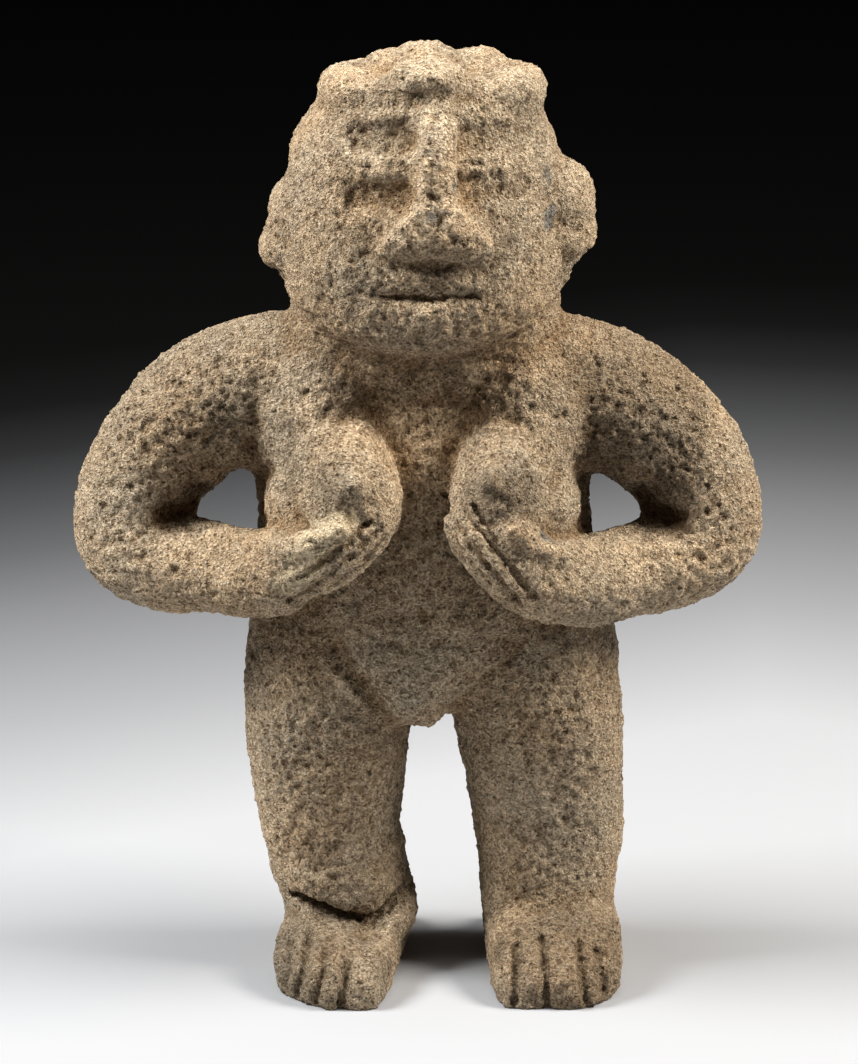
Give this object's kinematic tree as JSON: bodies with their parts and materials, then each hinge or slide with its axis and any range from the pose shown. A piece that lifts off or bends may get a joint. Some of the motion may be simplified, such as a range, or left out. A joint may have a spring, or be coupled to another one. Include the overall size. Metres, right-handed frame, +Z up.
{
  "type": "standing stone fertility figure",
  "caption": "Squat standing female figure cut from one block of pitted volcanic stone; bent arms make open loops and the hands hold the breasts from below. Stands on flat-soled feet.",
  "frame": {"origin": "on the ground, under the middle of the figure's bounding box", "axes": "+Z up the figure, front of the figure faces -Y, +X towards the figure's left hand"},
  "size_m": [0.2252, 0.0896, 0.31],
  "materials": {
    "volcanic_stone": "rough pitted brown volcanic stone, matte"
  },
  "bodies": {
    "root": {"stone_figure": "volcanic_stone"}
  },
  "joints": []
}
